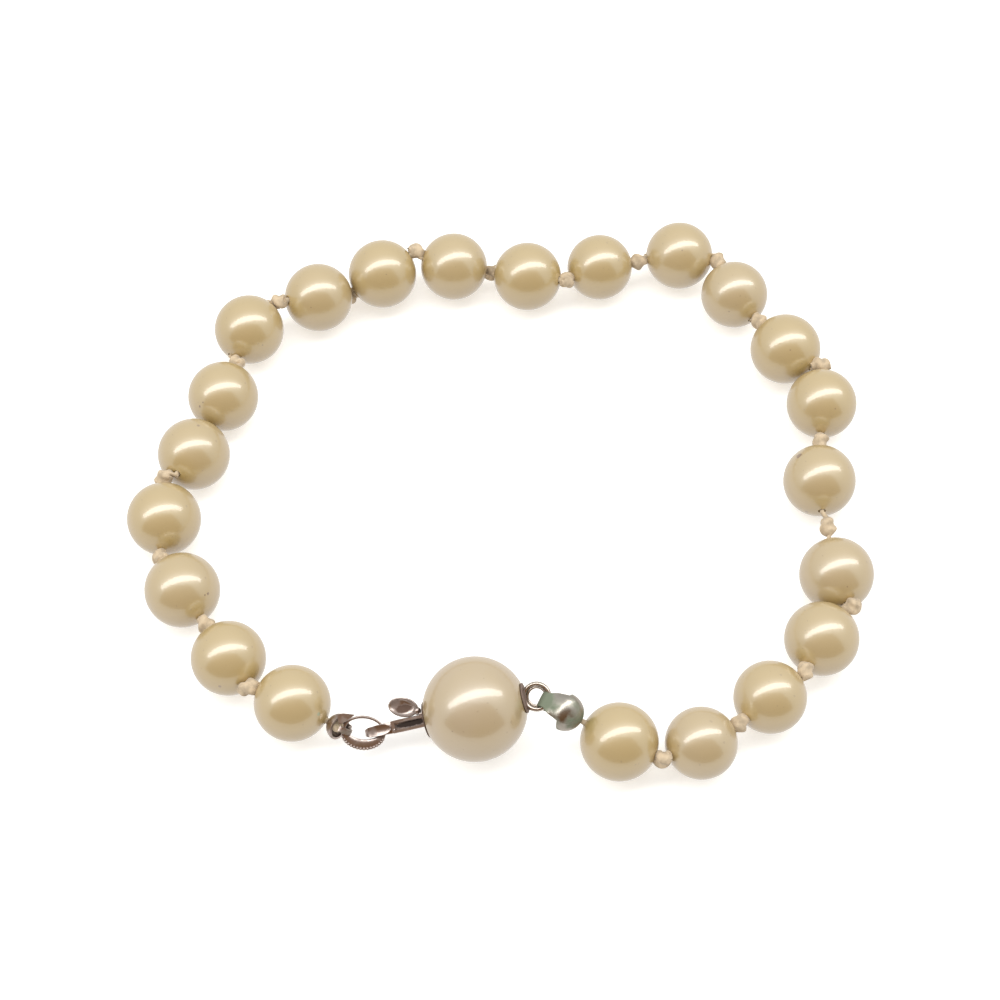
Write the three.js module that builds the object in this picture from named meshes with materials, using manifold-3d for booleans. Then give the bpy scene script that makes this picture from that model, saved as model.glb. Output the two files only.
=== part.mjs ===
// A bracelet of 22 knotted imitation pearls, fastened by a metal clasp inside one larger pearl.
// Millimetres, +Z up. It lies on the floor, z = 0, with the clasp at the front (-Y).
import * as THREE from "three";
import * as BufferGeometryUtils from "three/addons/utils/BufferGeometryUtils.js";
import Module from "manifold-3d";

// The strand, clockwise from above, starting beside the tongue's end of the clasp: one row a pearl.
// gap, heading and knot side describe the step to the next pearl. The knot side is 0 on the
// outside of the loop and 90 on top.
const STRAND_START = [-17.5, -22.4];
const STRAND = [
  // diameter, gap, heading deg, knot side deg
  [6.55, 0.65, 143, 30],
  [6.5, 1.5, 124, 0],
  [6.65, 1.05, 107, 0],
  [6.6, 0.7, 73, 30],
  [6.55, 0.3, 71, -65],
  [6.5, 1.45, 76, 0],
  [6.55, 0.95, 31, 40],
  [6.5, 0.15, 25, -80],
  [6.6, 0.45, 8, 45],
  [6.45, 0.75, -10, -55],
  [6.55, 0.7, 10, 160],
  [6.3, 1.55, 10, 0],
  [6.45, 0.55, -43, 20],
  [6.35, 1.45, -56, 0],
  [6.6, 0.35, -65, 25],
  [6.45, 2.0, -96, 0],
  [6.6, 3.3, -86, 0],
  [6.55, 0.15, -106, 25],
  [6.55, 0.95, -131, 35],
  [6.3, 1.2, -145, 40],
  [6.15, 0.5, 180, 15],
  [6.65, 0, 150, 0],
];

const PEARL_SEGMENTS = 18;
const PEARL_ROWS = 9;
const BORE_RADIUS = 0.5;
const RESTING_PEARL = 16; // index of the pearl that rests on one of its flat facets

const THREAD_RADIUS = 0.2;
const THREAD_SIDES = 8;
const KNOT_RADIUS = 0.62;
const END_KNOT_RADIUS = 0.5;
const KNOT_PROFILE = [
  // place along the thread and radius, both as shares of the knot's radius
  [-0.8, 0.5],
  [-0.55, 0.8],
  [0, 1],
  [0.55, 0.8],
  [0.8, 0.5],
];
const KNOT_CLEARANCE = 0.06;
const LEAD_TO_KNOT = 0.15; // straight thread past a bore mouth, towards a knot in line with it
const LEAD_ASIDE = 0.32; // the same where the thread turns aside to its knot

// The clasp pearl and its axis, which runs from the tongue's end to the eye's end.
const BALL_DIAMETER = 8.9;
const BALL_CENTRE = new THREE.Vector3(-1.97, -23.53, BALL_DIAMETER / 2);
const BALL_HEADING = 7; // degrees from +X
const BALL_PITCH = 14; // degrees up
const BALL_ROLL = 63; // degrees, top of the clasp turned away from the front
const BALL_SEGMENTS = 24;
const BALL_ROWS = 12;
const BALL_BORE_RADIUS = 1.25;
const TONGUE_END = -4.12; // flat end of the ball towards the tongue, along the axis
const EYE_END = 4.24; // flat end of the ball towards the eye
const TONGUE_PLATE_RADIUS = 1.55;
const EYE_PLATE_RADIUS = 1.3;
const PLATE_THICKNESS = 0.12;
const PLATE_GAP = 0.04;
const PLATE_SIDES = 20;

const BOX_WIDTH = 1.5; // inside the pearl, across the tongue
const BOX_HEIGHT = 1.9;
const BOX_WALL = 0.2;
const BOX_END_WALL = 0.3; // behind the tongue's tip
const BOX_LAP = 0.1; // how far the box runs into each end plate

const EYE_CENTRE = [5.35, 0, -0.1]; // in the clasp's own axes
const EYE_RADIUS = 1.07;
const EYE_WIRE = 0.21;
const EYE_MEETS_TIP = -40; // degrees round the eye, where the bead tip's strap is curled over it

const TONGUE_WIDTH = 1.1; // channel strip, across its open face
const TONGUE_DEPTH = 0.7;
const TONGUE_WALL = 0.28;
const TONGUE_TIP = 2.6; // how far it reaches into the box, along the clasp's axis
const CHANNEL_END = -7.0;
const CHANNEL_END_WALL = 0.3;
const CURL_CENTRE = -9.05;
const CURL_RADIUS = 0.5; // to the middle of the strip
const CURL_END = -7.6;
const CURL_WIDTH = 0.8; // from the bend on
const STRIP = 0.22; // thickness of the curled end
const SPRING_START = -4.7;
const SPRING_WIDTH = 0.7;
const SPRING_THICKNESS = 0.15;
const SPRING_LAP = 0.02; // how far the spring leaf runs into the channel strip

const TAB_CENTRE = [-5.95, -0.2, 1.46];
const TAB_LENGTH = 2.6;
const TAB_WIDTH = 1.65;
const TAB_TILT = -22; // degrees, outer end raised
const TAB_PROFILE = [
  // share of the way out to the edge, and place along Y: the dish with its raised rim, then its back
  [0, 0.12],
  [0.8, 0],
  [1, -0.14],
  [1, 0.1],
  [0.7, 0.3],
  [0, 0.36],
];
const TAB_SEGMENTS = 20;
const POST_CENTRE = [-4.85, -0.15, 0.9]; // the solder ball between tab and tongue
const POST_RADIUS = 0.34;

// The oval ring between the tongue and its bead tip, in the clasp's own axes.
// Its hole is off centre, so that the band is broadest on its lower side.
const LINK_CENTRE = [-9.75, -0.4, 0.1];
const LINK_LENGTH = 3.8;
const LINK_HEIGHT = 2.9;
const LINK_HOLE_LENGTH = 3.0;
const LINK_HOLE_HEIGHT = 1.75;
const LINK_HOLE_RAISED = 0.32;
const LINK_THICKNESS = 0.36;
const LINK_EDGE = 0.08; // bevel
const LINK_SEGMENTS = 14; // for each half of an oval
const LINK_TURN = 18; // degrees, outer end raised in the plane of the ring
const LINK_LEAN = 13; // degrees, outer end brought forward

// Bead tips: cup radius, gap to the pearl, strap width at the cup and at its curl, radius of the
// curl to the middle of the strip, and where the strap lies, as [Y, Z] in the clasp's own axes.
const TIP_WALL = 0.2;
const TIP_HOLE = 0.34;
const TIP_STRIP = 0.2;
const TIP_CURL_FROM = 62; // degrees round the curl, where the strap meets it
const TIP_CURL_TO = -110;
const TIP_MOUTH = 25; // degrees, how far the mouth slants away from the strap
const TIP_KNOT_GAP = 0.1; // between the end knot and the inside of the cup
const TONGUE_TIP_SIZES = { radius: 1.15, gap: 0.15, root: 1.0, width: 0.5, curl: 0.67 };
const EYE_TIP_SIZES = { radius: 1.6, gap: 0.35, root: 2.5, width: 1.35, curl: 0.65 };
const TIPS = {
  bead_tip_tongue_end: { ...TONGUE_TIP_SIZES, side: [1, 0], leaf: true },
  bead_tip_eye_end: { ...EYE_TIP_SIZES, side: [-1, 0.35] },
};

// The pointed leaf on the rim of the tongue end's cup: where it starts and how far it is turned
// up, in the bead tip's own axes, and its outline as [distance along it, width].
const LEAF_START = [-0.3, -0.62, -0.72];
const LEAF_TURN = -42; // degrees
const LEAF_OUTLINE = [[0, 0.85], [0.6, 0.75], [1.5, 0.06]];
const LEAF_THICKNESS = 0.14;

const PEARL = { color: 0xe6d8b8, roughness: 0.25, metalness: 0 };
const CLASP_PEARL = { color: 0xe2d6ba, roughness: 0.22, metalness: 0 };
const SILK = { color: 0xd8c2a4, roughness: 0.9, metalness: 0 };
const SILVER = { color: 0xb9a8a0, roughness: 0.3, metalness: 1 };
const TARNISHED = { color: 0xa4a894, roughness: 0.45, metalness: 1 };

const wasm = await Module();
wasm.setup();

const bracelet = new THREE.Group();
const radians = THREE.MathUtils.degToRad;

function addPiece(name, geometry, look) {
  const mesh = new THREE.Mesh(geometry, new THREE.MeshStandardMaterial(look));
  mesh.name = name;
  bracelet.add(mesh);
}

// Geometry helpers

function toSolid(geometry) {
  const bare = new THREE.BufferGeometry();
  bare.setAttribute("position", geometry.getAttribute("position"));
  bare.setIndex(geometry.getIndex());
  const merged = BufferGeometryUtils.mergeVertices(bare, 1e-5);
  const vertProperties = new Float32Array(merged.getAttribute("position").array);
  const triVerts = new Uint32Array(merged.getIndex().array);
  return new wasm.Manifold(new wasm.Mesh({ numProp: 3, vertProperties, triVerts }));
}

function toGeometry(solid) {
  const mesh = solid.getMesh();
  const geometry = new THREE.BufferGeometry();
  geometry.setAttribute("position", new THREE.BufferAttribute(mesh.vertProperties, 3));
  geometry.setIndex(new THREE.BufferAttribute(mesh.triVerts, 1));
  return geometry;
}

function join(...geometries) {
  return toGeometry(geometries.map(toSolid).reduce((whole, piece) => whole.add(piece)));
}

function cut(geometry, tool) {
  return toGeometry(toSolid(geometry).subtract(toSolid(tool)));
}

// A box given by its low and high corners.
function block(low, high) {
  const size = high.map((value, axis) => value - low[axis]);
  const centre = high.map((value, axis) => (value + low[axis]) / 2);
  return new THREE.BoxGeometry(...size).translate(...centre);
}

// A cylinder along +X from one x to another.
function rod(radius, from, to, sides = 16) {
  const geometry = new THREE.CylinderGeometry(radius, radius, to - from, sides);
  return geometry.rotateZ(Math.PI / 2).translate((from + to) / 2, 0, 0);
}

// A strip of even thickness along a path of [x, y] points, with a width across Z for each of them.
// hollow is the radius that its section is bent to at the first point, and it ends flat.
function bentStrip(path, thickness, widths, hollow = Infinity) {
  const points = path.map(([x, y]) => new THREE.Vector2(x, y));
  const last = points.length - 1;
  const rings = points.map((point, index) => {
    const before = points[Math.max(index - 1, 0)];
    const after = points[Math.min(index + 1, last)];
    const along = after.clone().sub(before).normalize();
    const curve = (1 - index / last) / hollow;
    const row = (level) => [-1, -0.5, 0, 0.5, 1].map((share) => {
      const across = (share * widths[index]) / 2;
      const off = level * (thickness / 2) - (across ** 2 * curve) / 2;
      return new THREE.Vector3(point.x - along.y * off, point.y + along.x * off, across);
    });
    return [...row(1), ...row(-1).reverse()];
  });
  return loft(rings);
}

// Points on an arc, from one angle to another in degrees.
function arc(centreX, centreY, radius, from, to, steps) {
  return Array.from({ length: steps + 1 }, (_, index) => {
    const angle = radians(from + ((to - from) * index) / steps);
    return [centreX + radius * Math.cos(angle), centreY + radius * Math.sin(angle)];
  });
}

// A closed surface through rings of as many points each, capped at both ends.
function loft(rings) {
  const sides = rings[0].length;
  const last = rings.length - 1;
  const middle = (ring) =>
    ring.reduce((sum, point) => sum.add(point), new THREE.Vector3()).divideScalar(sides);
  const points = [...rings.flat(), middle(rings[0]), middle(rings[last])];
  const ends = rings.length * sides;
  const index = [];
  for (let side = 0; side < sides; side += 1) {
    const next = (side + 1) % sides;
    for (let ring = 0; ring < last; ring += 1) {
      const near = ring * sides;
      const far = near + sides;
      index.push(near + side, near + next, far + next, near + side, far + next, far + side);
    }
    index.push(ends, next, side, ends + 1, last * sides + side, last * sides + next);
  }
  const geometry = new THREE.BufferGeometry().setFromPoints(points);
  geometry.setIndex(index);
  return geometry;
}

// A round tube through stations of { at, radius }.
function tube(stations, sides) {
  const last = stations.length - 1;
  const step = (index) => stations[index + 1].at.clone().sub(stations[index].at).normalize();
  let across = new THREE.Vector3(0, 0, 1);
  const rings = stations.map(({ at, radius }, index) => {
    const along = step(Math.max(index - 1, 0)).add(step(Math.min(index, last - 1))).normalize();
    across = across.clone().projectOnPlane(along).normalize();
    const third = along.clone().cross(across);
    return Array.from({ length: sides }, (_, side) => {
      const angle = (2 * Math.PI * side) / sides;
      const point = at.clone().addScaledVector(across, radius * Math.cos(angle));
      return point.addScaledVector(third, radius * Math.sin(angle));
    });
  });
  return loft(rings);
}

// A frame at a point, with +X along one direction and +Z as near as can be to another.
function frameAt(origin, direction, top) {
  const x = direction.clone().normalize();
  const z = top.clone().projectOnPlane(x).normalize();
  const y = z.clone().cross(x);
  return new THREE.Matrix4().makeBasis(x, y, z).setPosition(origin);
}

// The strand: pearls, knots and thread

// How far the middle row of facets is from the centre of a pearl of radius 1.
const FACET_DEPTH = Math.cos(Math.PI / PEARL_SEGMENTS) * Math.cos(Math.PI / 2 / (PEARL_ROWS + 1));

function layPearls() {
  const [x, y] = STRAND_START;
  const place = new THREE.Vector3(x, y, 0);
  return STRAND.map(([diameter, gap, heading, side], index) => {
    const radius = diameter / 2;
    const height = index === RESTING_PEARL ? radius * FACET_DEPTH : radius;
    const centre = new THREE.Vector3(place.x, place.y, height);
    const next = STRAND[index + 1];
    if (next) {
      const pitch = radius + gap + next[0] / 2;
      place.x += pitch * Math.cos(radians(heading));
      place.y += pitch * Math.sin(radians(heading));
    }
    return { centre, radius, side };
  });
}

// A knot sits between two pearls, or beside their nearest points where they are too close for it.
function placeKnot(before, after) {
  const reach = KNOT_RADIUS + KNOT_CLEARANCE;
  const link = after.centre.clone().sub(before.centre);
  const distance = link.length();
  const near = before.radius + reach;
  const far = after.radius + reach;
  const room = distance >= near + far;
  const along = room
    ? before.radius + (distance - before.radius - after.radius) / 2
    : (distance ** 2 + near ** 2 - far ** 2) / (2 * distance);
  const aside = room ? 0 : Math.sqrt(near ** 2 - along ** 2);
  const direction = link.normalize();
  const outward = new THREE.Vector3(-direction.y, direction.x, 0).normalize();
  const upward = direction.clone().cross(outward);
  const knot = before.centre.clone().addScaledVector(direction, along);
  knot.addScaledVector(outward, aside * Math.cos(radians(before.side)));
  knot.addScaledVector(upward, aside * Math.sin(radians(before.side)));
  return { at: knot, radius: KNOT_RADIUS, lead: room ? LEAD_TO_KNOT : LEAD_ASIDE };
}

// Each pearl's bore points from the knot before it to the knot after it, and the first and last
// ones straight into their bead tips.
function drillPearls(pearls, knots) {
  const last = pearls.length - 1;
  pearls.forEach((pearl, index) => {
    const before = index === last ? pearl.centre : knots[index].at;
    const after = index === 0 ? pearl.centre : knots[index + 1].at;
    const axis = after.clone().sub(before);
    pearl.axis = (index === RESTING_PEARL ? axis.setZ(0) : axis).normalize();
  });
}

function pearlGeometry(radius) {
  const start = Math.asin(BORE_RADIUS / radius);
  const profile = [];
  for (let row = 0; row <= PEARL_ROWS; row += 1) {
    const angle = start + ((Math.PI - 2 * start) * row) / PEARL_ROWS;
    profile.push(new THREE.Vector2(radius * Math.sin(angle), -radius * Math.cos(angle)));
  }
  profile.push(profile[0].clone());
  return new THREE.LatheGeometry(profile, PEARL_SEGMENTS);
}

function addPearls(pearls) {
  const down = new THREE.Vector3(0, 0, -1);
  pearls.forEach(({ centre, radius, axis }, index) => {
    const facet = down.clone().projectOnPlane(axis).normalize();
    const turned = new THREE.Matrix4().makeBasis(facet, axis, facet.clone().cross(axis));
    const geometry = pearlGeometry(radius).applyMatrix4(turned.setPosition(centre));
    addPiece(`pearl_${String(index + 1).padStart(2, "0")}`, geometry, PEARL);
  });
}

// A knot is a bulge in the thread, along the way from one bore mouth to the next.
function knotStations({ at, radius }, from, to) {
  const direction = to.clone().sub(from).normalize();
  return KNOT_PROFILE.map(([along, width]) => ({
    at: at.clone().addScaledVector(direction, along * radius),
    radius: width * radius,
  }));
}

function addThread(pearls, knots) {
  const mouth = ({ centre, radius, axis }, lead, way) =>
    centre.clone().addScaledVector(axis, way * (radius + lead));
  const entries = pearls.map((pearl, index) => mouth(pearl, knots[index].lead, -1));
  const exits = pearls.map((pearl, index) => mouth(pearl, knots[index + 1].lead, 1));
  const stations = knots.flatMap((knot, index) => {
    const from = exits[index - 1] ?? knot.at;
    const to = entries[index] ?? knot.at;
    const bulge = knotStations(knot, from, to);
    const bore = [entries[index], exits[index]].filter(Boolean);
    return [...bulge, ...bore.map((at) => ({ at, radius: THREAD_RADIUS }))];
  });
  addPiece("silk_thread", tube(stations, THREAD_SIDES), SILK);
}

// The clasp, in its own axes: +X from the tongue to the eye, -Y its face, +Z its top

const claspFrame = new THREE.Matrix4()
  .makeRotationZ(radians(BALL_HEADING))
  .multiply(new THREE.Matrix4().makeRotationY(radians(-BALL_PITCH)))
  .multiply(new THREE.Matrix4().makeRotationX(radians(-BALL_ROLL)))
  .setPosition(BALL_CENTRE);

const inClasp = (...point) => new THREE.Vector3(...point).applyMatrix4(claspFrame);

function addClaspPearl() {
  const radius = BALL_DIAMETER / 2;
  const from = Math.asin(TONGUE_END / radius);
  const to = Math.asin(EYE_END / radius);
  const profile = [new THREE.Vector2(BALL_BORE_RADIUS, TONGUE_END)];
  for (let row = 0; row <= BALL_ROWS; row += 1) {
    const angle = from + ((to - from) * row) / BALL_ROWS;
    profile.push(new THREE.Vector2(radius * Math.cos(angle), radius * Math.sin(angle)));
  }
  profile.push(new THREE.Vector2(BALL_BORE_RADIUS, EYE_END), profile[0].clone());
  const geometry = new THREE.LatheGeometry(profile, BALL_SEGMENTS).rotateZ(-Math.PI / 2);
  addPiece("clasp_pearl", geometry.applyMatrix4(claspFrame), CLASP_PEARL);
}

function addClaspBox() {
  const halfWidth = BOX_WIDTH / 2;
  const halfHeight = BOX_HEIGHT / 2;
  const front = TONGUE_END - PLATE_GAP;
  const back = EYE_END + PLATE_GAP;
  const shell = block(
    [front - BOX_LAP, -halfWidth, -halfHeight],
    [back + BOX_LAP, halfWidth, halfHeight],
  );
  const tonguePlate = rod(TONGUE_PLATE_RADIUS, front - PLATE_THICKNESS, front, PLATE_SIDES);
  const eyePlate = rod(EYE_PLATE_RADIUS, back, back + PLATE_THICKNESS, PLATE_SIDES);
  const inner = block(
    [front - PLATE_THICKNESS - BOX_LAP, BOX_WALL - halfWidth, BOX_WALL - halfHeight],
    [back - BOX_END_WALL, halfWidth - BOX_WALL, halfHeight - BOX_WALL],
  );
  const eye = new THREE.TorusGeometry(EYE_RADIUS, EYE_WIRE, 8, 20).rotateX(Math.PI / 2);
  eye.translate(...EYE_CENTRE);
  const body = cut(join(shell, tonguePlate, eyePlate), inner);
  addPiece("clasp_box", join(body, eye).applyMatrix4(claspFrame), SILVER);
}

// An oval dish facing -Y with a raised rim, long axis along X.
function tabGeometry() {
  const points = TAB_PROFILE.map(([across, depth]) => new THREE.Vector2(across, depth));
  const dish = new THREE.LatheGeometry(points, TAB_SEGMENTS);
  return dish.scale(TAB_LENGTH / 2, 1, TAB_WIDTH / 2);
}

function addTongue() {
  const half = TONGUE_WIDTH / 2;
  const depth = TONGUE_DEPTH / 2;
  const bar = block([CHANNEL_END - CHANNEL_END_WALL, -depth, -half], [TONGUE_TIP, depth, half]);
  const groove = block(
    [CHANNEL_END, -TONGUE_DEPTH, TONGUE_WALL - half],
    [TONGUE_TIP + TONGUE_WALL, TONGUE_WALL - depth, half - TONGUE_WALL],
  );
  const spring = block(
    [SPRING_START, -SPRING_WIDTH / 2, half - SPRING_LAP],
    [TONGUE_TIP, SPRING_WIDTH / 2, half + SPRING_THICKNESS],
  );
  const post = new THREE.SphereGeometry(POST_RADIUS, 10, 8).translate(...POST_CENTRE);
  const tab = tabGeometry().rotateY(radians(-TAB_TILT)).translate(...TAB_CENTRE);
  const curl = [
    [CHANNEL_END, TONGUE_DEPTH / 2 - STRIP / 2],
    ...arc(CURL_CENTRE, 0, CURL_RADIUS, 90, 270, 8),
    [CURL_END, -CURL_RADIUS],
  ];
  const hook = bentStrip(curl, STRIP, curl.map((_, index) => (index ? CURL_WIDTH : TONGUE_WIDTH)));
  const body = join(cut(bar, groove), spring, hook, post, tab);
  addPiece("clasp_tongue", body.applyMatrix4(claspFrame), SILVER);
}

function linkFrame() {
  return claspFrame
    .clone()
    .multiply(new THREE.Matrix4().makeTranslation(...LINK_CENTRE))
    .multiply(new THREE.Matrix4().makeRotationY(radians(LINK_TURN)))
    .multiply(new THREE.Matrix4().makeRotationZ(radians(LINK_LEAN)));
}

function addLinkRing() {
  const band = new THREE.Shape();
  band.absellipse(0, 0, LINK_LENGTH / 2 - LINK_EDGE, LINK_HEIGHT / 2 - LINK_EDGE, 0, 2 * Math.PI);
  const hole = new THREE.Path();
  const holeLong = LINK_HOLE_LENGTH / 2 + LINK_EDGE;
  const holeHigh = LINK_HOLE_HEIGHT / 2 + LINK_EDGE;
  hole.absellipse(0, LINK_HOLE_RAISED, holeLong, holeHigh, 0, 2 * Math.PI, true);
  band.holes.push(hole);
  const ring = new THREE.ExtrudeGeometry(band, {
    depth: LINK_THICKNESS - 2 * LINK_EDGE,
    curveSegments: LINK_SEGMENTS,
    bevelThickness: LINK_EDGE,
    bevelSize: LINK_EDGE,
    bevelSegments: 1,
  });
  ring.translate(0, 0, LINK_EDGE - LINK_THICKNESS / 2).rotateX(Math.PI / 2);
  addPiece("link_ring", ring.applyMatrix4(linkFrame()), SILVER);
}

// A bead tip: a cup around the end knot, and a strap that is curled over a ring.
// In its own axes the cup's mouth faces +X, and the strap lies on its +Z side.
function tipGeometry({ radius, root, width, curl }, reach) {
  const rim = 180 - THREE.MathUtils.radToDeg(Math.asin(TIP_HOLE / radius));
  const start = 90 - 1.5 * TIP_MOUTH;
  const outer = arc(0, 0, radius, start, rim, 9);
  const inner = arc(0, 0, radius - TIP_WALL, rim, start, 9);
  const profile = [...outer, ...inner, outer[0]].map(([along, across]) => new THREE.Vector2(across, along));
  const shell = new THREE.LatheGeometry(profile.reverse(), 16).rotateZ(-Math.PI / 2);
  const mouth = block([0, -2 * radius, -2 * radius], [2 * radius, 2 * radius, 2 * radius]);
  const cup = cut(shell, mouth.rotateY(radians(TIP_MOUTH)));
  const path = [
    [-radius * 0.3, radius * 0.96],
    [radius * 0.2, radius * 0.98],
    ...arc(reach, 0, curl, TIP_CURL_FROM, TIP_CURL_TO, 8),
  ];
  const widths = path.map((_, index) => (index < 2 ? root : width));
  const strap = bentStrip(path, TIP_STRIP, widths, radius * 1.25).rotateX(Math.PI / 2);
  return join(cup, strap);
}

function leafGeometry() {
  const path = LEAF_OUTLINE.map(([along]) => [along, 0]);
  const widths = LEAF_OUTLINE.map(([, width]) => width);
  const leaf = bentStrip(path, LEAF_THICKNESS, widths).rotateX(Math.PI / 2);
  return leaf.rotateZ(radians(LEAF_TURN)).translate(...LEAF_START);
}

// The cup stands beside its pearl, with its mouth towards the ring that the strap is curled over.
function placeTip(name, pearl, ring) {
  const tip = TIPS[name];
  const direction = ring.clone().sub(pearl.centre).normalize();
  const centre = pearl.centre.clone().addScaledVector(direction, pearl.radius + tip.gap + tip.radius);
  const face = inClasp(0, ...tip.side).sub(BALL_CENTRE);
  const bare = tipGeometry(tip, ring.distanceTo(centre));
  const geometry = tip.leaf ? join(bare, leafGeometry()) : bare;
  const depth = tip.radius - TIP_WALL - TIP_KNOT_GAP - END_KNOT_RADIUS;
  const at = centre.clone().addScaledVector(direction, -depth);
  const knot = { at, radius: END_KNOT_RADIUS, lead: LEAD_TO_KNOT };
  return { geometry: geometry.applyMatrix4(frameAt(centre, direction, face)), knot };
}

function build() {
  const pearls = layPearls();
  const bandMiddle = -(LINK_LENGTH + LINK_HOLE_LENGTH) / 4;
  const linkEnd = new THREE.Vector3(bandMiddle, 0, LINK_HOLE_RAISED / 2).applyMatrix4(linkFrame());
  const eyeAngle = radians(EYE_MEETS_TIP);
  const [eyeX, eyeY, eyeZ] = EYE_CENTRE;
  const eyeEnd = inClasp(
    eyeX + EYE_RADIUS * Math.cos(eyeAngle),
    eyeY,
    eyeZ + EYE_RADIUS * Math.sin(eyeAngle),
  );
  const first = placeTip("bead_tip_tongue_end", pearls[0], linkEnd);
  const last = placeTip("bead_tip_eye_end", pearls[pearls.length - 1], eyeEnd);
  const between = pearls.slice(1).map((after, index) => placeKnot(pearls[index], after));
  const knots = [first.knot, ...between, last.knot];
  drillPearls(pearls, knots);
  addPearls(pearls);
  addThread(pearls, knots);
  addPiece("bead_tip_tongue_end", first.geometry, SILVER);
  addPiece("bead_tip_eye_end", last.geometry, TARNISHED);
  addLinkRing();
  addTongue();
  addClaspPearl();
  addClaspBox();
}

// The origin is the middle of the bounding box, at floor level.
function centreOnFloor() {
  const box = new THREE.Box3().setFromObject(bracelet);
  const middle = box.getCenter(new THREE.Vector3());
  bracelet.position.set(-middle.x, -middle.y, -box.min.z);
}

build();
centreOnFloor();

export default bracelet;
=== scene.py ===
"""A knotted pearl bracelet with a tongue clasp inside one larger pearl, lying on a pale surface."""
import math
import random

import bpy
from mathutils import Matrix, Vector


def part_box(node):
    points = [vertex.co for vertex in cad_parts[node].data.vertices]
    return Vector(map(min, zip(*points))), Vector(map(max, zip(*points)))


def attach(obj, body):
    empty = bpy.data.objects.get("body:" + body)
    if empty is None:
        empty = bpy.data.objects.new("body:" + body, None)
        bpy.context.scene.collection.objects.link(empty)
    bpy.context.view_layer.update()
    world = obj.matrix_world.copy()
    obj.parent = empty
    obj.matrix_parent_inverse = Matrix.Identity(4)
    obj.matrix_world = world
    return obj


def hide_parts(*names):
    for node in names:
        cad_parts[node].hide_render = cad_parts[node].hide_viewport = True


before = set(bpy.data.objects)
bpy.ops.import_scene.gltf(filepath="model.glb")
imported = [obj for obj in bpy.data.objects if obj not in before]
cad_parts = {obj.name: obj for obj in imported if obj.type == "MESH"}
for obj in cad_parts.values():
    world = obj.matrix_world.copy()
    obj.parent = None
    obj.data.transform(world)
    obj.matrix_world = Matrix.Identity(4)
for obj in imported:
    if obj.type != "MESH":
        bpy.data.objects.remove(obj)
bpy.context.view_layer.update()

MM = 0.001

# The strand. Knot sides are degrees from the outside of the loop, 90 being on top.
PEARL_COUNT = 22
KNOT_SIDES = [30, 0, 0, 30, -65, 0, 40, -80, 45, -55, 160, 0, 20, 0, 25, 0, 0, 25, 35, 40, 15]
BORE_RADIUS = 0.32 * MM
THREAD_RADIUS = 0.2 * MM
KNOT_RADIUS = 0.62 * MM
KNOT_CLEARANCE = 0.06 * MM
KNOT_STEPS = 14
KNOT_LENGTH = 1.3  # as a share of its width
KNOT_FULLNESS = 1.12  # how far its strands swell out of its nominal radius
KNOT_SKEW = 0.35  # how far the widest part may lie from the middle
TWIST = 420  # turns of the two plies in a metre
PLY_DEPTH = 0.17  # of the groove between them, as a share of the radius
SILK_SIDES = 24
THREAD_FULLNESS = 1.15
LEAD_TO_KNOT = 0.15 * MM  # straight thread past a hole, towards a knot in line with it
LEAD_ASIDE = 0.3 * MM  # the same where the thread turns aside to its knot
END_KNOT_RADIUS = 0.5 * MM

# The clasp's own axes: +X from the tongue to the eye, -Y its face, +Z its top.
CLASP_HEADING = 7
CLASP_PITCH = 14
CLASP_ROLL = 63
BALL_RADIUS = 4.45 * MM
BALL_BORE = 1.25 * MM
TONGUE_END = -4.12 * MM
EYE_END = 4.24 * MM
TONGUE_PLATE_RADIUS = 1.55 * MM
EYE_PLATE_RADIUS = 1.3 * MM
PLATE_THICKNESS = 0.12 * MM
PLATE_GAP = 0.04 * MM
PLATE_CENTRE_HOLE = 0.02 * MM
EYE_CENTRE = Vector((5.35, 0, -0.1)) * MM
EYE_RADIUS = 1.07 * MM
EYE_WIRE = 0.2 * MM
EYE_MEETS_TIP = -40  # degrees round the eye

# The tongue: a channel that is open to -Y, its curled end and the thumb tab. In mm.
CHANNEL_END = -7.0
TONGUE_REACH = 2.6
TONGUE_WIDTH = 1.1
TONGUE_DEPTH = 0.7
TONGUE_WALL = 0.28
CURL_CENTRE = (-9.05, 0)
CURL_RADIUS = 0.5
STRIP = 0.22
TAB_CENTRE = (-5.95, -0.2, 1.46)
TAB_LENGTH = 2.6
TAB_WIDTH = 1.65
TAB_TILT = 22  # degrees
POST_CENTRE = (-4.85, -0.15, 0.9)
POST_RADIUS = 0.34
RIVET_CENTRE = (-7.08, -0.34, -0.25)
RIVET_RADIUS = 0.14

SHARP_ABOVE = 38  # degrees between faces
EDGE_THICKNESS = 0.35  # of a strip's soft edge, as a share of its thickness

random.seed(7)


# Small geometry helpers


def add_mesh(name, vertices, faces, material, slot, replaces=(), place=Matrix()):
    """A new piece: its vertices are turned the way place is, and its origin is moved there."""
    turn = place.to_3x3()
    mesh = bpy.data.meshes.new(name)
    mesh.from_pydata([tuple(turn @ Vector(vertex)) for vertex in vertices], [], faces)
    mesh.validate()
    mesh.update()
    mesh.shade_smooth()
    mesh.set_sharp_from_angle(angle=math.radians(SHARP_ABOVE))
    piece = bpy.data.objects.new(name, mesh)
    bpy.context.collection.objects.link(piece)
    piece.location = place.translation
    mesh.materials.append(material)
    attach(piece, "root")
    if replaces:
        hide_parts(*replaces)
    return piece


def lathe(profile, segments):
    """Vertices and faces of a closed (across, along) profile turned about +X."""
    vertices = []
    for step in range(segments):
        angle = 2 * math.pi * step / segments
        for across, along in profile:
            vertices.append((along, across * math.cos(angle), across * math.sin(angle)))
    count = len(profile)
    faces = []
    for step in range(segments):
        after = (step + 1) % segments
        for row in range(count):
            following = (row + 1) % count
            faces.append(
                (step * count + row, after * count + row, after * count + following, step * count + following)
            )
    return vertices, faces


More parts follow.
